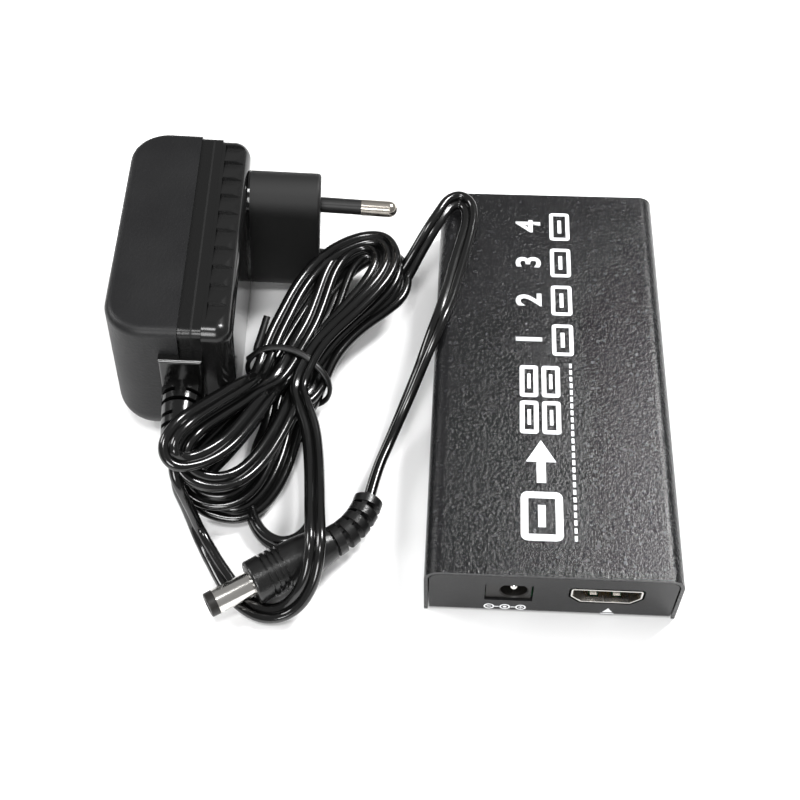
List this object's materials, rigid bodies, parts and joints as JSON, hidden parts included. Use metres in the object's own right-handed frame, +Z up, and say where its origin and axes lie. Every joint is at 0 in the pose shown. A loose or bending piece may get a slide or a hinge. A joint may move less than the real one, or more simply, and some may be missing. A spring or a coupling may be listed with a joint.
{
  "type": "hdmi splitter",
  "caption": "Flat video signal splitter in a folded sheet-metal case, with its plug-in power supply and tied-up cord ending in a barrel plug.",
  "frame": {"origin": "middle of the splitter's flat bottom", "axes": "+X to the right along the end with the input socket, +Y from that end to the far one, +Z up"},
  "size_m": [0.1312, 0.1167, 0.0404],
  "materials": {
    "cover_paint": "fine-grained black powder coat",
    "tray_paint": "smooth satin dark grey",
    "screw_black": "black oxide",
    "screw_steel": "zinc plated",
    "brass_hex": "nickel-free turned brass",
    "board_laminate": "green solder mask",
    "shell_metal": "bright nickel plated",
    "socket_plastic": "black",
    "contact_gold": "gold flash",
    "chip_plastic": "black moulding compound",
    "chip_ceramic": "tan ceramic",
    "ferrite": "dark grey",
    "can_metal": "satin can",
    "supply_plastic": "finely textured black",
    "supply_gloss": "polished black",
    "sleeve_plastic": "black insulating sleeve",
    "plug_metal": "nickel plated",
    "plug_grip": "satin black vinyl",
    "cord_vinyl": "glossy black vinyl",
    "tie_vinyl": "black"
  },
  "bodies": {
    "root": {"adapter_board": "board_laminate", "adapter_capacitors": "can_metal", "adapter_front_shell": "supply_plastic", "adapter_pin_1": "plug_metal", "adapter_pin_2": "plug_metal", "adapter_rear_shell": "supply_gloss", "adapter_transformer": "ferrite", "base_tray": "tray_paint", "board_screws": "screw_steel", "board_standoffs": "brass_hex", "capacitor_cans": "can_metal", "chip_capacitors": "chip_ceramic", "circuit_board": "board_laminate", "cord_gland": "cord_vinyl", "cord_hank": "cord_vinyl", "cord_lead": "cord_vinyl", "cord_loop": "cord_vinyl", "cord_run": "cord_vinyl", "cord_tie": "tie_vinyl", "cover_screw_1": "screw_black", "cover_screw_2": "screw_black", "cover_screw_3": "screw_black", "cover_screw_4": "screw_black", "crystal": "can_metal", "dc_jack_body": "socket_plastic", "dc_jack_pin": "plug_metal", "dc_jack_spring": "plug_metal", "dc_plug_barrel": "plug_metal", "dc_plug_body": "plug_grip", "dc_plug_socket": "plug_metal", "dc_plug_tip": "socket_plastic", "input_socket_contacts": "contact_gold", "input_socket_shell": "shell_metal", "input_socket_tongue": "socket_plastic", "memory_chips": "chip_plastic", "output_socket_1_contacts": "contact_gold", "output_socket_1_shell": "shell_metal", "output_socket_1_tongue": "socket_plastic", "output_socket_2_contacts": "contact_gold", "output_socket_2_shell": "shell_metal", "output_socket_2_tongue": "socket_plastic", "output_socket_3_contacts": "contact_gold", "output_socket_3_shell": "shell_metal", "output_socket_3_tongue": "socket_plastic", "output_socket_4_contacts": "contact_gold", "output_socket_4_shell": "shell_metal", "output_socket_4_tongue": "socket_plastic", "pin_sleeve_1": "sleeve_plastic", "pin_sleeve_2": "sleeve_plastic", "plug_strain_relief": "plug_grip", "port_driver_chips": "chip_plastic", "power_inductor": "ferrite", "regulator": "chip_plastic", "splitter_chip": "chip_plastic", "top_cover": "cover_paint"}
  },
  "joints": []
}
